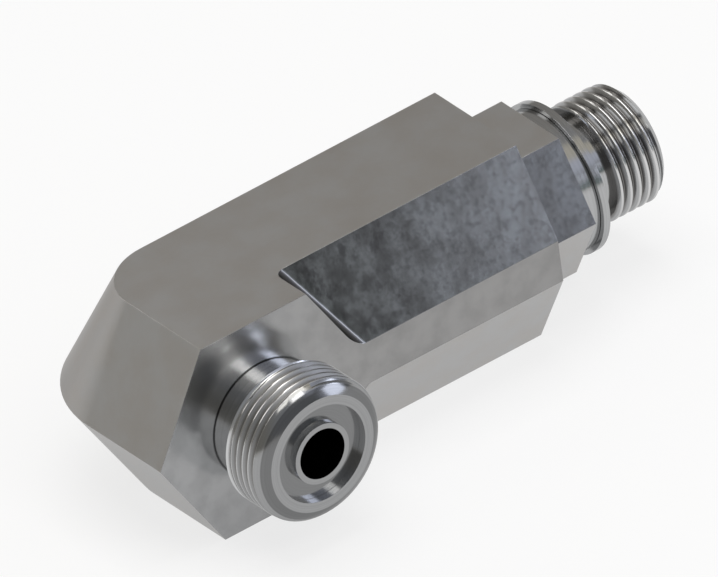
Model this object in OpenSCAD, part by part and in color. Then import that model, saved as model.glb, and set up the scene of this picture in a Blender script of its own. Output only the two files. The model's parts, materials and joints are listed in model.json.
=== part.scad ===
// Ninety degree elbow fitting for a hydraulic line. A face seal port stands on the front
// of a hexagonal elbow, and a long hexagonal arm ends in an adjustable O-ring stud with
// its locknut and backup washer. Millimetres. The origin is where the axes of the two
// drilled passages cross. The stud points along +X, the face seal port along -Y, and the
// flats of both limbs are level. Threads are plain cylinders at their outside diameter.

/* [Elbow body] */
// Width across the flats of the hexagonal section that both limbs share
body_af = 25.4; // [22:0.1:32]
// Length of the arm, from the port's axis to the flat end behind the locknut
arm_length = 41.1; // [28:0.1:70]
// Distance from the arm's axis to the flat front face that carries the port
front_face = 13.15; // [10:0.05:18]
// Radius of the fillets where the arm's front facets meet the port's limb
inner_fillet = 1.5; // [0.5:0.1:3]

/* [Passages] */
// Diameter of the hole drilled in from the face seal port
port_bore_d = 6.1; // [3:0.1:6.6]
// Diameter of the hole drilled in from the stud
stud_bore_d = 7.5; // [6.8:0.1:8.5]
// Included angle of the drills' points
drill_point = 118; // [90:1:140]
// Diameter of the blunt tip of the drills' points
drill_tip_d = 0.8; // [0.4:0.1:1.2]
// Depth that the stud's hole runs past the far side of the port's hole
stud_bore_overrun = 0.5; // [0.2:0.1:2]
// Width of the countersink at the mouth of the stud's hole
stud_mouth_chamfer = 0.4; // [0.2:0.1:0.8]

/* [Face seal port] */
// Diameter of the smooth neck behind the thread
port_neck_d = 14.3; // [13:0.1:15.5]
// Length of that neck, from the front face to the chamfer under the thread
port_neck_length = 2.6; // [1.5:0.1:6]
// Outside diameter of the port's thread
port_thread_d = 17.4; // [17:0.1:20]
// Length of the thread at its full diameter
port_thread_length = 4.8; // [3:0.1:12]
// Length of the lead-in from the thread to the bevel
port_lead_length = 0.65; // [0.4:0.05:1]
// Larger diameter of the shallow bevel round the sealing land
bevel_d = 16.3; // [15:0.1:16.8]
// Length of that bevel
bevel_length = 0.65; // [0.4:0.05:1]
// Outside diameter of the flat sealing land
land_d = 14.1; // [13:0.1:14.8]
// Outside diameter of the groove for the face seal's O-ring
seal_groove_d = 11.8; // [10:0.1:12.4]
// Depth of that groove
seal_groove_depth = 1; // [0.6:0.1:2]
// Outside diameter of the hub between the groove and the drilled hole
hub_d = 7.4; // [7:0.1:8.5]

/* [Stud] */
// Outside diameter of the stud's thread
stud_thread_d = 14.3; // [13.6:0.1:15]
// Diameter of the undercut that carries the washer and the stud's O-ring
undercut_d = 11.8; // [10.5:0.1:12.4]
// Width of the undercut that is left in front of the washer for the O-ring
undercut_w = 2.9; // [2.6:0.1:4]
// Length of the undercut that lies hidden inside the locknut's bearing end
undercut_back = 0.4; // [0.2:0.1:1]
// Width of the chamfer on the thread's edge beside the undercut
undercut_chamfer = 0.25; // [0.1:0.05:0.4]
// Length from the undercut to the stud's tip
stud_thread_length = 6.9; // [5:0.1:14]
// Width of the chamfer at the stud's tip
tip_chamfer = 1; // [0.6:0.05:1.3]

/* [Locknut] */
// Width across the locknut's flats
nut_af = 17.9; // [17.6:0.1:20]
// Length of the locknut's hexagon
nut_hex_length = 7.05; // [5:0.05:10]
// Diameter of the turned end that bears on the washer
nut_bearing_d = 17.1; // [16.2:0.1:17.4]
// Length of that turned end
nut_bearing_length = 1.85; // [1.3:0.05:2.5]
// Width of the countersinks in the locknut's bore
nut_countersink = 0.5; // [0.3:0.1:0.8]
// Radial clearance of the locknut's bore on the stud
nut_clearance = 0.05; // [0.02:0.01:0.1]

/* [Backup washer] */
// Distance that the washer stands out past the locknut's flats
washer_proud = 0.2; // [0:0.05:1]
// Thickness of the washer
washer_t = 0.9; // [0.6:0.05:1.2]
// Radial clearance of the washer's hole on the undercut
washer_clearance = 0.05; // [0.02:0.01:0.1]

/* [Hidden] */
$fn = 96;

// The limbs' hexagon: half its width across the flats, its corner radius and half a side.
body_half = body_af / 2;
body_corner = body_half / cos(30);
body_side_half = body_corner / 2;

// Gap between end faces that rest against each other.
face_gap = 0.05;
// Distance that a cutting shape runs past the surface it cuts.
past = 0.5;
// Flats in half of a fillet's arc.
fillet_steps = 6;

// Stations of the face seal port, as distances from the arm's axis.
port_neck_end = front_face + port_neck_length;
port_thread_start = port_neck_end + (port_thread_d - port_neck_d) / 2;
port_thread_end = port_thread_start + port_thread_length;
port_bevel_start = port_thread_end + port_lead_length;
port_reach = port_bevel_start + bevel_length;

// Stations of the locknut, the washer and the stud, as distances from the port's axis.
nut_start = arm_length + face_gap;
nut_length = nut_hex_length + nut_bearing_length;
washer_start = nut_start + nut_length + face_gap;
undercut_start = washer_start - undercut_back;
undercut_end = washer_start + washer_t + undercut_w;
stud_tip = undercut_end + stud_thread_length;
stud_bore_end = -port_bore_d / 2 - stud_bore_overrun;

// The upper mitre line, where a facet of one limb meets a facet of the other. Each facet
// leans 30 degrees from upright, so the line lies half-way between the limbs and leans
// inwards by mitre_lean. The two facets stand mitre_half to either side of the plane
// half-way between them, measured square to the line.
mitre_lean = atan(sqrt(2) * tan(30));
mitre_half = asin(sqrt((1 + sin(30) * sin(30)) / 2));
mitre_length = body_half / cos(mitre_lean);

// A regular hexagon with two sides along X.
module hexagon(corner) {
    polygon([for (i = [0 : 5]) corner * [cos(60 * i), sin(60 * i)]]);
}

// The half of the limbs' hexagon that lies on one side of its upright centre line.
module half_hexagon() {
    polygon([
        [0, -body_half],
        [body_side_half, -body_half],
        [body_corner, 0],
        [body_side_half, body_half],
        [0, body_half]
    ]);
}

// The blank that both limbs are cut from: the heel is the half hexagon turned a quarter round
// the vertical axis, and the back of the arm and the left of the port's limb carry it on. The
// square block between them ends at the front face and at the arm's end.
module blank() {
    rotate([0, 0, 90]) rotate_extrude(angle = 90) half_hexagon();
    rotate([90, 0, 90]) linear_extrude(arm_length) half_hexagon();
    rotate([90, 0, 0]) linear_extrude(front_face) mirror([1, 0]) half_hexagon();
    translate([0, -front_face, -body_half]) cube([arm_length, front_face, body_af]);
}

// Section of the cut that forms the two facets beside the upper mitre line, with the line at
// the origin and the open side along +X. Its corner is an arc that leaves the fillet.
module facet_section() {
    centre = inner_fillet / sin(mitre_half);
    reach = 2 * (arm_length + body_corner);
    arc_half = 90 - mitre_half;
    polygon(concat(
        [for (step = [-fillet_steps : fillet_steps])
            let (turn = 180 - arc_half * step / fillet_steps)
            [centre + inner_fillet * cos(turn), inner_fillet * sin(turn)]],
        [for (side = [1, -1]) reach * [cos(mitre_half), side * sin(mitre_half)]]
    ));
}

// The cut itself, carried along the mitre line well past both of its ends.
module facet_cut() {
    rotate([0, 0, -45])
    translate([sqrt(2) * body_corner, 0, 0])
    rotate([0, -mitre_lean, 0])
    translate([0, 0, -arm_length])
        linear_extrude(2 * arm_length + mitre_length) facet_section();
}

// Turned outline of the face seal port, from the middle of the limb to the sealing face.
module port_outline() {
    polygon([
        [0, 0],
        [port_neck_d / 2, 0],
        [port_neck_d / 2, port_neck_end],
        [port_thread_d / 2, port_thread_start],
        [port_thread_d / 2, port_thread_end],
        [bevel_d / 2, port_bevel_start],
        [land_d / 2, port_reach],
        [0, port_reach]
    ]);
}

// Ring that is cut out of the sealing face for the O-ring, round the hub.
module seal_groove() {
    rotate_extrude() polygon([
        [hub_d / 2, port_reach - seal_groove_depth],
        [seal_groove_d / 2, port_reach - seal_groove_depth],
        [seal_groove_d / 2, port_reach + past],
        [hub_d / 2, port_reach + past]
    ]);
}

// Turned outline of the stud, from the middle of the arm to the chamfered tip.
module stud_outline() {
    thread_r = stud_thread_d / 2;
    polygon([
        [0, arm_length / 2],
        [thread_r, arm_length / 2],
        [thread_r, undercut_start],
        [undercut_d / 2, undercut_start],
        [undercut_d / 2, undercut_end],
        [thread_r - undercut_chamfer, undercut_end],
        [thread_r, undercut_end + undercut_chamfer],
        [thread_r, stud_tip - tip_chamfer],
        [thread_r - tip_chamfer, stud_tip],
        [0, stud_tip]
    ]);
}

// A drilled hole that opens upwards past height mouth and has its full diameter down to
// height full, with the drill's point below that.
module drilled_hole(d, mouth, full) {
    point_length = (d - drill_tip_d) / 2 / tan(drill_point / 2);
    rotate_extrude() polygon([
        [0, full - point_length],
        [drill_tip_d / 2, full - point_length],
        [d / 2, full],
        [d / 2, mouth + past],
        [0, mouth + past]
    ]);
}

// A countersink of forty-five degrees that opens upwards through height mouth.
module countersink(d, width, mouth) {
    rotate_extrude() polygon([
        [0, mouth - width],
        [d / 2, mouth - width],
        [d / 2 + width + past, mouth + past],
        [0, mouth + past]
    ]);
}

module elbow_body() {
    color([0.55, 0.55, 0.54])
    difference() {
        union() {
            difference() {
                blank();
                facet_cut();
                mirror([0, 0, 1]) facet_cut();
            }
            rotate([90, 0, 0]) rotate_extrude() port_outline();
            rotate([0, 90, 0]) rotate_extrude() stud_outline();
        }
        rotate([90, 0, 0]) seal_groove();
        rotate([90, 0, 0]) drilled_hole(port_bore_d, port_reach, 0);
        rotate([0, 90, 0]) drilled_hole(stud_bore_d, stud_tip, stud_bore_end);
        rotate([0, 90, 0]) countersink(stud_bore_d, stud_mouth_chamfer, stud_tip);
    }
}

module locknut() {
    bore_d = stud_thread_d + 2 * nut_clearance;
    color([0.6, 0.6, 0.59])
    translate([nut_start, 0, 0])
    rotate([90, 0, 90])
    difference() {
        union() {
            linear_extrude(nut_hex_length) hexagon(nut_af / 2 / cos(30));
            cylinder(h = nut_length, d = nut_bearing_d);
        }
        translate([0, 0, -past]) cylinder(h = nut_length + 2 * past, d = bore_d);
        countersink(bore_d, nut_countersink, nut_length);
        mirror([0, 0, 1]) countersink(bore_d, nut_countersink, 0);
    }
}

module backup_washer() {
    color([0.64, 0.64, 0.63])
    translate([washer_start, 0, 0])
    rotate([0, 90, 0])
    difference() {
        cylinder(h = washer_t, d = nut_af + 2 * washer_proud);
        translate([0, 0, -past])
            cylinder(h = washer_t + 2 * past, d = undercut_d + 2 * washer_clearance);
    }
}

elbow_body();
locknut();
backup_washer();
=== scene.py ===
"""Looks of the elbow fitting: cut threads, eased edges, plated steel, and a plain studio."""

import json
import math

import bpy
import numpy as np
from mathutils import Matrix, Vector


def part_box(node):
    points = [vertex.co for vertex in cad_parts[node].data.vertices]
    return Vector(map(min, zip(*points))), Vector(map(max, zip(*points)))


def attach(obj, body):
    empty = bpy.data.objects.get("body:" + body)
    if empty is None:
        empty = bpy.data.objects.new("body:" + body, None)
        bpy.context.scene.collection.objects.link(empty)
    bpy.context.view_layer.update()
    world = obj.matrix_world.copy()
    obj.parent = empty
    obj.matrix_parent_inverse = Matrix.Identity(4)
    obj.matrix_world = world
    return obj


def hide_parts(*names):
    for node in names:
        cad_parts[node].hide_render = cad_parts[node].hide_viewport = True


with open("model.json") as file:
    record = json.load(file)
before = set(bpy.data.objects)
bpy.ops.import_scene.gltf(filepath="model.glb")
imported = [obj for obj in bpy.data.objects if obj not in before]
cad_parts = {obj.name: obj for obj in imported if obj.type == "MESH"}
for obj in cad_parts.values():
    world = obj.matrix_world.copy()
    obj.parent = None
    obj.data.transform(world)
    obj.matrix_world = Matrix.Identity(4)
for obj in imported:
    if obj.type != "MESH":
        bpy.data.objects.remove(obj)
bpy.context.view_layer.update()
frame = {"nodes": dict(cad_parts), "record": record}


# Elbow body
# One steel forging with hexagonal limbs, milled beside the port, turned at both ends and zinc
# plated. Its two threads are cut after turning, and they are cut the same way here: a tool
# that has the thread's own form is taken away from a copy of the turned blank.

MM = 0.001

# Sizes in metres. Places along a limb are measured from where the two axes cross. The threads'
# radii are those of the record's mounts, and both tips are the frame's, to the micrometre.
mounts = {mount["name"]: mount for mount in frame["record"]["mounts"]}
PORT_TIP = round(-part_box("elbow_body")[0].y, 6)
FRONT_FACE = PORT_TIP - 10.25 * MM
NECK_END = PORT_TIP - 6.1 * MM
PORT_LEAD = PORT_TIP - 1.3 * MM
GROOVE_FLOOR = PORT_TIP - 1.0 * MM
BEVEL_START = PORT_TIP - 0.65 * MM
NECK_RADIUS, LAND_RADIUS = 7.15 * MM, 7.05 * MM
GROOVE_RADIUS, HUB_RADIUS = 5.9 * MM, 3.7 * MM
PORT_RADIUS = mounts["port_thread"]["dims"]["r_mm"] * MM
PORT_PITCH = 1.03 * MM
PORT_DEPTH = 0.42 * PORT_PITCH
PORT_TOOL_START, PORT_TOOL_TURNS = NECK_END - 2.4 * MM, 7

STUD_TIP = round(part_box("elbow_body")[1].x, 6)
ARM_END = STUD_TIP - 19.7 * MM
STUD_SHOULDER = STUD_TIP - 6.9 * MM
STUD_LEAD = STUD_TIP - 1.0 * MM
STUD_RADIUS = mounts["stud_thread"]["dims"]["r_mm"] * MM
STUD_PITCH = 1.25 * MM
STUD_DEPTH = 0.48 * STUD_PITCH
STUD_TOOL_START, STUD_TOOL_TURNS = STUD_SHOULDER - 1.9 * MM, 8

# How far the edges are eased, and how far inside the turned surface a thread's crest lies.
EDGE = 0.03 * MM
SKIM = 0.015 * MM


def merged_copy(node, name):
    """A copy of a CAD node whose loose triangles are joined into whole faces."""
    piece = bpy.data.objects.new(name, frame["nodes"][node].data.copy())
    bpy.context.scene.collection.objects.link(piece)
    bpy.context.view_layer.objects.active = piece
    bpy.ops.object.select_all(action="DESELECT")
    piece.select_set(True)
    bpy.ops.object.mode_set(mode="EDIT")
    bpy.ops.mesh.select_all(action="SELECT")
    bpy.ops.mesh.remove_doubles(threshold=0.001 * MM)
    bpy.ops.mesh.customdata_custom_splitnormals_clear()
    bpy.ops.mesh.dissolve_limited(angle_limit=math.radians(0.5))
    bpy.ops.object.mode_set(mode="OBJECT")
    return piece


def finish_modifier(piece, kind, **settings):
    """Adds one modifier to a piece and applies it."""
    bpy.context.view_layer.objects.active = piece
    step = piece.modifiers.new(kind, kind)
    for name, value in settings.items():
        setattr(step, name, value)
    bpy.ops.object.modifier_apply(modifier=step.name)


def ease_edges(piece, width):
    """Takes the keenness off every edge that turns by more than 25 degrees."""
    finish_modifier(piece, "BEVEL", width=width, segments=2, limit_method="ANGLE",
                    angle_limit=math.radians(25), use_clamp_overlap=True)


def shade_round(piece, keep_above=35):
    """Shades a piece smooth, apart from edges that turn by more than keep_above degrees, with
    normals that lean towards the larger faces, so that flats stay flat beside eased edges."""
    piece.data.polygons.foreach_set("use_smooth", [True] * len(piece.data.polygons))
    piece.data.set_sharp_from_angle(angle=math.radians(keep_above))
    finish_modifier(piece, "WEIGHTED_NORMAL", weight=80, keep_sharp=True)


def thread_cut(phase, crest, root):
    """How deep a thread is at a phase of its pitch, from 0 on the crest to 1 in the root.
    t is the way from the crest's flat to the root's flat, from 0 to 1. The depth is a mix of
    t, which gives straight flanks, and t squared, which rounds the flanks into the crest. The
    flats are the shares crest and root of the pitch."""
    straight = 0.85
    from_crest = np.abs(phase - np.round(phase))
    t = np.clip((from_crest - crest / 2) / (0.5 - crest / 2 - root / 2), 0, 1)
    return straight * t + (1 - straight) * t * t


def thread_tool(name, axis, radius, depth, pitch, start, turns, phase, crest, root):
    """A ring that leaves a right-hand thread when it is taken away from a cylinder.
    Its inner wall is r(turn, s) = radius - depth * thread_cut(s / pitch - turn - phase), where s
    runs along the axis. The rows of the grid climb with the helix, one pitch in each turn, so
    the last column meets the first one a whole pitch higher. Its outer wall is a cylinder, and
    both its ends are steps of one pitch."""
    columns, rows_per_turn = 180, 24
    along = np.array(axis, float)
    side = np.array([0, 0, 1.0])
    other = np.cross(along, side)
    rows = turns * rows_per_turn
    row, column = np.mgrid[0:rows + 1, 0:columns]
    turn = column / columns
    s = start + pitch * (row / rows_per_turn + turn)
    inner = radius - depth * thread_cut(s / pitch - turn - phase, crest, root)
    outer = np.full_like(inner, radius + depth)

    def wall(r):
        around = np.cos(2 * np.pi * turn)[..., None] * side
        around = around + np.sin(2 * np.pi * turn)[..., None] * other
        return (s[..., None] * along + r[..., None] * around).reshape(-1, 3)

    index = np.arange((rows + 1) * columns).reshape(rows + 1, columns)
    left, right = index[:, :-1], index[:, 1:]
    sheet = np.stack([left[:-1], right[:-1], right[1:], left[1:]], -1).reshape(-1, 4)
    seam_left, seam_right = index[:-rows_per_turn, -1], index[rows_per_turn:, 0]
    seam = np.stack([seam_left[:-1], seam_right[:-1], seam_right[1:], seam_left[1:]], -1)
    skin = np.vstack([sheet, seam])
    low = np.concatenate([index[0], index[rows_per_turn:0:-1, 0]])
    high = np.concatenate([index[-1], index[-2:-rows_per_turn - 2:-1, -1]])
    far = index.size

    def cap(loop):
        follow = np.roll(loop, -1)
        return np.stack([loop, follow, follow + far, loop + far], -1)

    faces = np.vstack([skin, skin[:, ::-1] + far, cap(low)[:, ::-1], cap(high)])
    mesh = bpy.data.meshes.new(name)
    mesh.from_pydata(np.vstack([wall(inner), wall(outer)]).tolist(), [], faces.tolist())
    tool = bpy.data.objects.new(name, mesh)
    bpy.context.scene.collection.objects.link(tool)
    bpy.context.view_layer.objects.active = tool
    bpy.ops.object.select_all(action="DESELECT")
    tool.select_set(True)
    bpy.ops.object.mode_set(mode="EDIT")
    bpy.ops.mesh.select_all(action="SELECT")
    bpy.ops.mesh.normals_make_consistent(inside=False)
    bpy.ops.object.mode_set(mode="OBJECT")
    return tool


# Each tool starts in the air, the port's round the neck and the stud's round the undercut. The
# port's tool runs out over the lead cone in front of its thread, and the stud's past the tip.
body = merged_copy("elbow_body", "threaded_elbow_body")
ease_edges(body, EDGE)
port_tool = thread_tool("port_thread_tool", (0, -1, 0), PORT_RADIUS - SKIM, PORT_DEPTH,
                        PORT_PITCH, PORT_TOOL_START, PORT_TOOL_TURNS,
                        phase=0.35, crest=0.16, root=0.14)
stud_tool = thread_tool("stud_thread_tool", (1, 0, 0), STUD_RADIUS - SKIM, STUD_DEPTH,
                        STUD_PITCH, STUD_TOOL_START, STUD_TOOL_TURNS,
                        phase=0.2, crest=0.16, root=0.1)
for tool in (port_tool, stud_tool):
    finish_modifier(body, "BOOLEAN", operation="DIFFERENCE", solver="EXACT", object=tool)
    bpy.data.objects.remove(tool)
shade_round(body)


class Value:
    """One output socket of a shader tree. Sums, differences and products with it, also those
    with a plain number on either side, add Math nodes."""

    def __init__(self, tree, socket):
        self.tree = tree
        self.socket = socket

    def math(self, operation, *terms):
        """A Math node that takes the terms in their order."""
        return self.tree.node("ShaderNodeMath", {"operation": operation}, dict(enumerate(terms)))

    def __add__(self, other):
        return self.math("ADD", self, other)

    def __sub__(self, other):
        return self.math("SUBTRACT", self, other)

    def __rsub__(self, other):
        return self.math("SUBTRACT", other, self)

    def __mul__(self, other):
        return self.math("MULTIPLY", self, other)

    __radd__ = __add__
    __rmul__ = __mul__

    def between(self, low, high):
        """0 below low, 1 above high, and a soft step from one to the other."""
        return self.tree.node("ShaderNodeMapRange", {"interpolation_type": "SMOOTHSTEP"},
                              {"Value": self, "From Min": low, "From Max": high})

    def past(self, place, start, end):
        """A soft step from 0 to 1 between place + start and place + end, where start and end are
        in millimetres."""
        return self.between(place + start * MM, place + end * MM)


class Shader:
    """The node tree of a material or of the world."""

    def __init__(self, owner):
        owner.use_nodes = True
        self.nodes = owner.node_tree.nodes
        self.links = owner.node_tree.links
        self.nodes.clear()

    def node(self, kind, settings=None, inputs=None, output=0):
        """Adds a node, sets its settings, then gives each named socket a value or a link."""
        made = self.nodes.new(kind)
        for name, setting in (settings or {}).items():
            setattr(made, name, setting)
        for name, given in (inputs or {}).items():
            socket = made.inputs[name]
            if isinstance(given, Value):
                self.links.new(given.socket, socket)
            else:
                socket.default_value = given
        return Value(self, made.outputs[output]) if len(made.outputs) else made

    def place(self):
        """Where a point is on its piece, in metres."""
        return self.node("ShaderNodeTexCoord", output="Object")

    def facing(self):
        """Which way the surface faces on its piece."""
        return self.node("ShaderNodeTexCoord", output="Normal")

    def part(self, vector, axis):
        """The X, Y or Z of a vector."""
        return self.node("ShaderNodeSeparateXYZ", None, {"Vector": vector}, output=axis)

    def along(self, vector, direction):
        """How far a vector reaches in a direction."""
        return self.node("ShaderNodeVectorMath", {"operation": "DOT_PRODUCT"},
                         {0: vector, 1: direction}, output="Value")

    def stretched(self, vector, factors):
        """A vector whose X, Y and Z are multiplied by three factors."""
        return self.node("ShaderNodeVectorMath", {"operation": "MULTIPLY"},
                         {0: vector, 1: factors})

    def from_axis(self, place, axis):
        """How far a place is from the X or the Y axis."""
        across = {"X": (0, 1, 1), "Y": (1, 0, 1)}[axis]
        return self.node("ShaderNodeVectorMath", {"operation": "LENGTH"},
                         {0: self.stretched(place, across)}, output="Value")

    def noise(self, vector, size, detail=3.0, rough=0.5):
        """Cloudy noise from 0 to 1 whose clouds are about size metres across."""
        return self.node("ShaderNodeTexNoise", None,
                         {"Vector": vector, "Scale": 1 / size, "Detail": detail,
                          "Roughness": rough})

    def blend(self, factor, first, second, how="MIX"):
        """Goes from the first colour to the second as the factor goes from 0 to 1. With MULTIPLY
        it goes from the first colour to the product of both."""
        colour_sockets = {0: factor, 6: first, 7: second}
        return self.node("ShaderNodeMix", {"data_type": "RGBA", "blend_type": how},
                         colour_sockets, output=2)


def grey(level, warmth=0.0):
    """A grey, whose red rises and blue falls with its warmth."""
    return (level * (1 + warmth), level, level * (1 - warmth), 1.0)


# Sizes of the clouds and the grain of the flats, and of the mottle and blots of the painted dark
# reflection on one of them.
CLOUD, GRAIN, MOTTLE, BLOT = 4.5 * MM, 0.7 * MM, 2.4 * MM, 1.7 * MM

# Ways in which the round of the heel, the inner corner and the flat with the painted dark reflection
# face, and where along the arm that reflection is at its darkest and at its faintest.
HEEL_WAY, CORNER_WAY = (-0.707, 0.707, 0), (0.707, -0.707, 0)
REFLECTION_WAY = (0, -0.866, 0.5)
REFLECTION_DARKEST, REFLECTION_FAINTEST = 0 * MM, 44 * MM

# Colours that darken the metal as painted shade on the round of the heel and in the inner corner, and
# at the painted reflection's dark end.
HEEL_SHADE, CORNER_SHADE = grey(0.69, 0.03), grey(0.24)
REFLECTION_SHADE = (0.37, 0.385, 0.36, 1.0)


def hexagon_flats(shader, place, tone, reflection_tone):
    """Colour, roughness and height of a hexagon's flats. They are clouded in brown and grey, with a
    fine grain. The flat that faces up and to the front carries a painted dark reflection, which fades
    out from the heel to the stud, with dark mottle, dark grain, and blots of almost black. The inner
    corner is darkened with painted shade, and the round of the heel is made darker than the flats
    with painted shade too."""
    clouds = shader.noise(place, CLOUD, detail=5.0, rough=0.6)
    grain = shader.noise(place, GRAIN)
    colour = shader.blend(clouds.between(0.3, 0.7), grey(tone * 0.95, 0.03), grey(tone))
    colour = shader.blend(grain * 0.12, colour, grey(tone * 0.7))
    # Painted shade: the round of the heel is darkened by the way it faces.
    heel = shader.along(shader.facing(), HEEL_WAY).between(0.64, 0.85)
    colour = shader.blend(heel, colour, HEEL_SHADE, how="MULTIPLY")

    # Painted dark reflection on the flat that faces up and to the front, with mottle and blots.
    upper_front = shader.along(shader.facing(), REFLECTION_WAY).between(0.985, 0.995)
    across = shader.stretched(place, (1.0, 0.7, 0.7))
    mottle = shader.noise(across, MOTTLE, detail=5.0, rough=0.62)
    blots = shader.noise(across, BLOT, detail=3.0, rough=0.55)
    to_stud = shader.part(place, "X").between(REFLECTION_DARKEST, REFLECTION_FAINTEST)
    pits = shader.blend(to_stud, grey(reflection_tone * 0.45, 0.02), grey(reflection_tone * 0.68))
    plain = shader.blend(to_stud, grey(reflection_tone * 1.1), grey(reflection_tone * 0.84, -0.02))
    painted_reflection = shader.blend(mottle.between(0.36, 0.66), pits, plain)
    painted_reflection = shader.blend(1 - to_stud, painted_reflection, REFLECTION_SHADE, how="MULTIPLY")
    painted_reflection = shader.blend(grain.between(0.45, 0.7) * 0.6, painted_reflection, grey(0.6), how="MULTIPLY")
    blot = blots.between(0.56, 0.7) * (1 - to_stud * 0.9)
    painted_reflection = shader.blend(blot * 0.8, painted_reflection, grey(reflection_tone * 0.13, 0.03))
    colour = shader.blend(upper_front, colour, painted_reflection)

    # Painted shade in the inner corner.
    corner = shader.along(shader.facing(), CORNER_WAY).between(0.64, 0.72)
    colour = shader.blend(corner, colour, CORNER_SHADE, how="MULTIPLY")
    roughness = (0.27 + clouds * 0.08) * (1 - upper_front * 0.35)
    return colour, roughness, grain * 0.5


# Size of the milled face's clouds, and where along X its painted shade leaves it at its brightest and
# its dimmest.
FAINT_CLOUD = 2.5 * MM
MILLED_BRIGHTEST, MILLED_DIMMEST = -14 * MM, 20 * MM


def milled_face(shader, place, tone):
    """Colour, roughness and height of a milled face: faint clouds, and painted shade, a tone that
    falls a little from the heel to the stud."""
    clouds = shader.noise(place, FAINT_CLOUD, detail=4.0)
    # Painted shade: the tone falls from the heel to the stud.
    to_stud = shader.part(place, "X").between(MILLED_BRIGHTEST, MILLED_DIMMEST)
    painted_shade_fall = shader.blend(to_stud, grey(tone * 1.14, -0.01), grey(tone * 0.96, 0.01))
    colour = shader.blend(clouds.between(0.3, 0.7), painted_shade_fall, grey(0.86), how="MULTIPLY")
    return colour, 0.18 + clouds * 0.05, clouds


# Width of the rings that the lathe leaves.
RING = 0.2 * MM


def turned_faces(shader, place, axis, tone):
    """Colour, roughness and height of faces turned about an axis, with fine rings. The noise
    behind the rings reads only the place along the axis and the distance from it, so it is the
    same all the way round."""
    spot = shader.node("ShaderNodeCombineXYZ", None,
                       {"X": shader.part(place, axis), "Y": shader.from_axis(place, axis)})
    rings = shader.noise(spot, RING, detail=2.0)
    colour = shader.blend(rings.between(0.3, 0.7), grey(tone * 0.95, -0.01), grey(tone * 1.05, -0.01))
    return colour, 0.12 + rings * 0.06, rings * 0.3


def crest_highlight_root_shade(shader, look, away, radius, depth, mask, root_tone, matt):
    """A look with a painted highlight on a thread's crest and painted shade that darkens it down to
    its root.
    away is the distance from the thread's axis. The roughness grows by the factor 1 + matt off
    the crest. Only the part under the mask changes."""
    # Painted shade down to the root, and a painted highlight on the crest.
    root = (1 - away.between(radius - depth, radius - depth * 0.3)) * mask
    crest = away.between(radius - depth * 0.25, radius - depth * 0.05) * mask
    colour = shader.blend(root, look[0], grey(root_tone, 0.04), how="MULTIPLY")
    colour = shader.blend(crest, colour, grey(1.5, 0.01), how="MULTIPLY")
    return colour, look[1] * (1 + (mask - crest) * matt), look[2]


def layered(shader, mask, under, over):
    """A surface that goes from one look to another as the mask goes from 0 to 1."""
    return (shader.blend(mask, under[0], over[0]),
            under[1] * (1 - mask) + over[1] * mask,
            under[2] * (1 - mask) + over[2] * mask)


def plated_steel(name, look):
    """Zinc plated steel. look(shader, place) gives its colour, roughness and height."""
    material = bpy.data.materials.new(name)
    shader = Shader(material)
    colour, roughness, height = look(shader, shader.place())
    bump = shader.node("ShaderNodeBump", None,
                       {"Strength": 0.12, "Distance": 0.05 * MM, "Height": height})
    surface = shader.node("ShaderNodeBsdfPrincipled", None,
                          {"Base Color": colour, "Metallic": 1.0, "Roughness": roughness,
                           "Specular Tint": grey(0.75), "Normal": bump})
    shader.node("ShaderNodeOutputMaterial", None, {"Surface": surface})
    return material


# Tones of the metal, from 0, black, to 1, white. The reflection tones are for the painted dark
# reflection on the flats.
# On the port's one turned finish, the neck, groove wall and back tones are painted highlights, and
# the bevel, groove and neck corner tones are painted shade.
FLAT_TONE, REFLECTION_TONE, MILLED_TONE = 0.5, 0.435, 0.32
NECK_HIGHLIGHT_TONE, PORT_TONE, BEVEL_SHADE_TONE = 0.56, 0.32, 0.18
GROOVE_SHADE_TONE, GROOVE_WALL_HIGHLIGHT_TONE = 0.215, 0.6
BACK_HIGHLIGHT_TONE, NECK_CORNER_SHADE_TONE = 0.85, 0.12
STUD_TONE = 0.42


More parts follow.
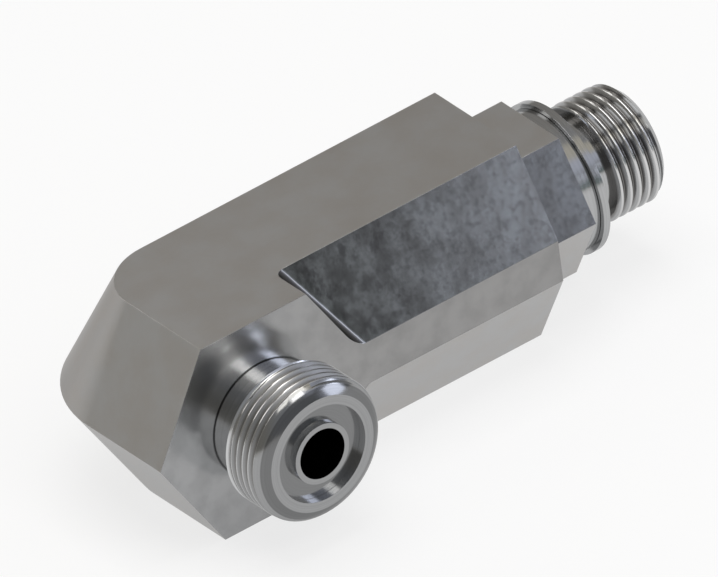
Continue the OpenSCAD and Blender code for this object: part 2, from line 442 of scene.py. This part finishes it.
def body_look(shader, place):
    """Plain flats, a milled front face, a port turned about Y, and a stud turned about X. The
    port gets a painted highlight on its neck, on the side walls of its groove, and where it faces
    back to the front face. It gets painted shade on the bevel round its sealing face, on its groove's
    floor and in the corner where its neck meets the front face. Both threads get a painted highlight
    on their crests and painted shade down to their roots."""
    forward = 0 - shader.part(place, "Y")
    outward = shader.part(place, "X")
    away = shader.from_axis(place, "Y")
    front = forward.past(FRONT_FACE, -0.06, -0.02)
    port = forward.past(FRONT_FACE, 0.02, 0.04)
    stud = outward.past(ARM_END, -0.01, -0.002)
    bevel = forward.past(BEVEL_START, -0.02, 0.04) * away.past(LAND_RADIUS, -0.02, 0.04)
    groove = ((1 - forward.past(GROOVE_FLOOR, 0.01, 0.05)) * port
              * (1 - away.past(GROOVE_RADIUS, 0, 0.05)))
    neck_corner = ((1 - forward.past(FRONT_FACE, 0.03, 0.25))
                   * (1 - away.past(NECK_RADIUS, 0.03, 0.25)))
    past_neck = forward.past(NECK_END, 0, 0.3)
    forwards = shader.along(shader.facing(), (0, -1, 0))
    groove_walls = (port * forward.past(GROOVE_FLOOR, 0.02, 0.06)
                    * (1 - forwards.between(0.3, 0.6))
                    * away.past(HUB_RADIUS, -0.3, -0.2)
                    * (1 - away.past(GROOVE_RADIUS, 0.1, 0.2)))
    look = layered(shader, front, hexagon_flats(shader, place, FLAT_TONE, REFLECTION_TONE),
                   milled_face(shader, place, MILLED_TONE))
    # The neck is a painted highlight: a brighter tone of the same turned finish.
    look = layered(shader, port, look, turned_faces(shader, place, "Y", NECK_HIGHLIGHT_TONE))
    look = layered(shader, past_neck, look, turned_faces(shader, place, "Y", PORT_TONE))
    port_thread = past_neck * (1 - forward.past(PORT_LEAD, 0, 0.1))
    look = crest_highlight_root_shade(shader, look, away, PORT_RADIUS, PORT_DEPTH, port_thread,
                         root_tone=0.65, matt=1.6)
    # Painted shade on the groove's floor, painted highlights on its side walls and on faces that face
    # back, then painted shade on the bevel and in the neck's corner.
    look = layered(shader, groove, look, turned_faces(shader, place, "Y", GROOVE_SHADE_TONE))
    look = layered(shader, groove_walls, look, turned_faces(shader, place, "Y", GROOVE_WALL_HIGHLIGHT_TONE))
    backs = port * (1 - forwards.between(-0.6, -0.3))
    look = layered(shader, backs, look, turned_faces(shader, place, "Y", BACK_HIGHLIGHT_TONE))
    look = layered(shader, bevel, look, turned_faces(shader, place, "Y", BEVEL_SHADE_TONE))
    look = layered(shader, neck_corner * front, look,
                   turned_faces(shader, place, "Y", NECK_CORNER_SHADE_TONE))
    stud_thread = outward.past(STUD_SHOULDER, -0.05, 0) * (1 - outward.past(STUD_LEAD, 0, 0.1))
    turned = crest_highlight_root_shade(shader, turned_faces(shader, place, "X", STUD_TONE),
                           shader.from_axis(place, "X"), STUD_RADIUS, STUD_DEPTH, stud_thread,
                           root_tone=0.42, matt=0.2)
    return layered(shader, stud, look, turned)


body.data.materials.clear()
body.data.materials.append(plated_steel("body_steel", body_look))
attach(body, "elbow")
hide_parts("elbow_body")


# Locknut
# A hexagon nut of drawn steel bar with a turned bearing end, run up against the arm on the
# stud's thread. It is plated like the body, and its flats carry the same clouds and painted dark
# reflection.

NUT_HEX_END = round(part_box("locknut")[1].x, 6) - 1.85 * MM
NUT_FLAT_TONE, NUT_REFLECTION_TONE, NUT_END_TONE = 0.51, 0.29, 0.42
nut = merged_copy("locknut", "eased_locknut")
ease_edges(nut, EDGE)
shade_round(nut)


def nut_look(shader, place):
    """Plain flats, and past the end of the hexagon a face turned about X."""
    bearing_end = shader.part(place, "X").past(NUT_HEX_END, -0.01, -0.002)
    return layered(shader, bearing_end,
                   hexagon_flats(shader, place, NUT_FLAT_TONE, NUT_REFLECTION_TONE),
                   turned_faces(shader, place, "X", NUT_END_TONE))


nut.data.materials.clear()
nut.data.materials.append(plated_steel("nut_steel", nut_look))
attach(nut, "nut")
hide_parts("locknut")


# Backup washer
# A thin flat washer, turned all over and plated. It lies loose on the stud's undercut in
# front of the locknut, which pushes it ahead.

WASHER_EDGE = 0.02 * MM
WASHER_TONE = 0.42
washer = merged_copy("backup_washer", "eased_backup_washer")
ease_edges(washer, WASHER_EDGE)
shade_round(washer)


def washer_look(shader, place):
    """Turned about X all over."""
    return turned_faces(shader, place, "X", WASHER_TONE)


washer.data.materials.clear()
washer.data.materials.append(plated_steel("washer_steel", washer_look))
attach(washer, "washer")
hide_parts("backup_washer")


# Floor
# A white sheet under the fitting. Most of its light towards the camera and the metal is its
# own, so that it looks white, and the rest is lit, so that the fitting's shadow shows.

FLOOR_HALF = 4.0
OWN_LIGHT = 0.75
UNDER = 0.02 * MM
floor_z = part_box("elbow_body")[0].z - UNDER
corners = np.array([(-1, -1), (1, -1), (1, 1), (-1, 1)]) * FLOOR_HALF
floor_mesh = bpy.data.meshes.new("floor")
floor_mesh.from_pydata([(x, y, floor_z) for x, y in corners.tolist()], [], [(0, 1, 2, 3)])
floor = bpy.data.objects.new("floor", floor_mesh)
bpy.context.scene.collection.objects.link(floor)

white_sheet = bpy.data.materials.new("white_sheet")
shader = Shader(white_sheet)
rays = [shader.node("ShaderNodeLightPath", output=ray)
        for ray in ("Is Camera Ray", "Is Glossy Ray", "Is Transmission Ray")]
seen = (rays[0] + rays[1] + rays[2]).between(0, 1)
lit = shader.node("ShaderNodeBsdfDiffuse", None, {"Color": grey(0.9)})
own = shader.node("ShaderNodeEmission", None, {"Color": grey(1.0), "Strength": 1.0})
mixed = shader.node("ShaderNodeMixShader", None, {0: seen * OWN_LIGHT, 1: lit, 2: own})
shader.node("ShaderNodeOutputMaterial", None, {"Surface": mixed})
floor_mesh.materials.append(white_sheet)


# Studio light
# A pale room that is warm grey behind the fitting and at the left, and cool grey in front of
# it, with a white horizon, one dark patch and three bright ones. Soft boxes hang overhead, in
# front and above, at the right, and behind the fitting at both sides and in the middle.

ROOM_FRONT, ROOM_BEHIND = (0.335, 0.345, 0.365, 1.0), (0.345, 0.332, 0.313, 1.0)
ROOM_LEFT, HORIZON = (0.3, 0.29, 0.265, 1.0), (1.0, 0.98, 0.95, 1.0)
world = bpy.data.worlds.new("studio")
bpy.context.scene.world = world
shader = Shader(world)
towards = shader.node("ShaderNodeTexCoord", output="Generated")
height = shader.part(towards, "Z")
behind = shader.part(towards, "Y").between(-0.5, 0.4)
left = (0 - shader.part(towards, "X")).between(0.2, 0.8)
room = shader.blend(left, shader.blend(behind, ROOM_FRONT, ROOM_BEHIND), ROOM_LEFT)


def patch(room, way, edge, middle, colour):
    """The room with a patch of another colour round the direction way. The patch grows from
    nothing to full while the reach along way goes from edge to middle."""
    return shader.blend(shader.along(towards, way).between(edge, middle), room, colour)


room = patch(room, (0.45, -0.89, -0.02), 0.95, 0.99, (0.15, 0.19, 0.18, 1.0))
room = patch(room, (0.45, -0.64, 0.62), 0.955, 0.995, (0.66, 0.69, 0.8, 1.0))
room = patch(room, (0.74, -0.64, 0.2), 0.94, 0.995, (0.7, 0.73, 0.84, 1.0))
room = patch(room, (0.45, -0.39, 0.8), 0.955, 0.998, (0.68, 0.64, 0.55, 1.0))
room = shader.blend(height.between(0.0, 0.08), HORIZON, room)
background = shader.node("ShaderNodeBackground", None, {"Color": room, "Strength": 1.0})
shader.node("ShaderNodeOutputWorld", None, {"Surface": background})

WHITE, WARM_WHITE, WARMER_WHITE = (1.0, 1.0, 1.0), (1.0, 0.98, 0.95), (1.0, 0.97, 0.9)
COOL_WHITE, COOLER_WHITE = (0.82, 0.87, 1.0), (0.8, 0.85, 1.0)


def soft_box(name, way, distance, width, depth, level, colour):
    """A flat lamp that faces the middle of the fitting. Its level is its own brightness, where
    1 shows white, and its power is level * pi * width * depth."""
    lamp = bpy.data.lights.new(name, "AREA")
    lamp.shape = "RECTANGLE"
    lamp.size = width
    lamp.size_y = depth
    lamp.energy = level * math.pi * width * depth
    lamp.color = colour
    box = bpy.data.objects.new(name, lamp)
    bpy.context.scene.collection.objects.link(box)
    middle = Vector((15 * MM, -5 * MM, 0))
    out = Vector(way).normalized()
    aim = (-out).to_track_quat("-Z", "Y").to_matrix().to_4x4()
    box.matrix_world = Matrix.Translation(middle + out * distance) @ aim
    box.visible_camera = False


soft_box("overhead_box", (0, 0.05, 1), 0.6, 0.45, 0.45, level=2.7, colour=WHITE)
soft_box("front_box", (0.0, -0.55, 0.83), 0.55, 0.42, 0.12, level=2.2, colour=WARMER_WHITE)
soft_box("neck_box", (0.15, -0.69, 0.7), 0.55, 0.15, 0.09, level=3.8, colour=WARM_WHITE)
soft_box("right_box", (0.72, -0.66, 0.21), 0.36, 0.13, 0.11, level=3.4, colour=COOLER_WHITE)
soft_box("back_right_box", (0.8, 0.39, 0.45), 0.5, 0.1, 0.09, level=3.6, colour=COOL_WHITE)
soft_box("back_left_box", (-0.42, 0.7, 0.58), 0.55, 0.22, 0.16, level=1.6, colour=WARM_WHITE)
soft_box("back_box", (0.15, 0.64, 0.75), 0.55, 0.12, 0.08, level=3.5, colour=WARM_WHITE)


# Camera
# A parallel view from the front left and above, tilted a little to the right. In the picture,
# the point that it looks at lies to the right of the crossing axes and above them.

VIEW_WIDTH = 78.71 * MM
AZIMUTH, ELEVATION, ROLL = -33.38, 34.22, -7.56
LOOK_RIGHT, LOOK_UP, STAND_OFF = 18.21 * MM, 8.92 * MM, 400 * MM
FARTHEST = 10.0
camera_data = bpy.data.cameras.new("camera")
camera = bpy.data.objects.new("camera", camera_data)
bpy.context.scene.collection.objects.link(camera)
camera_data.type = "ORTHO"
camera_data.ortho_scale = VIEW_WIDTH
camera_data.clip_end = FARTHEST
turned = (Matrix.Rotation(math.radians(AZIMUTH), 3, "Z")
          @ Matrix.Rotation(math.radians(90 - ELEVATION), 3, "X")
          @ Matrix.Rotation(math.radians(ROLL), 3, "Z"))
stands = turned @ Vector((LOOK_RIGHT, LOOK_UP, STAND_OFF))
camera.matrix_world = Matrix.Translation(stands) @ turned.to_4x4()
bpy.context.scene.camera = camera
bpy.context.scene.view_settings.view_transform = "Standard"
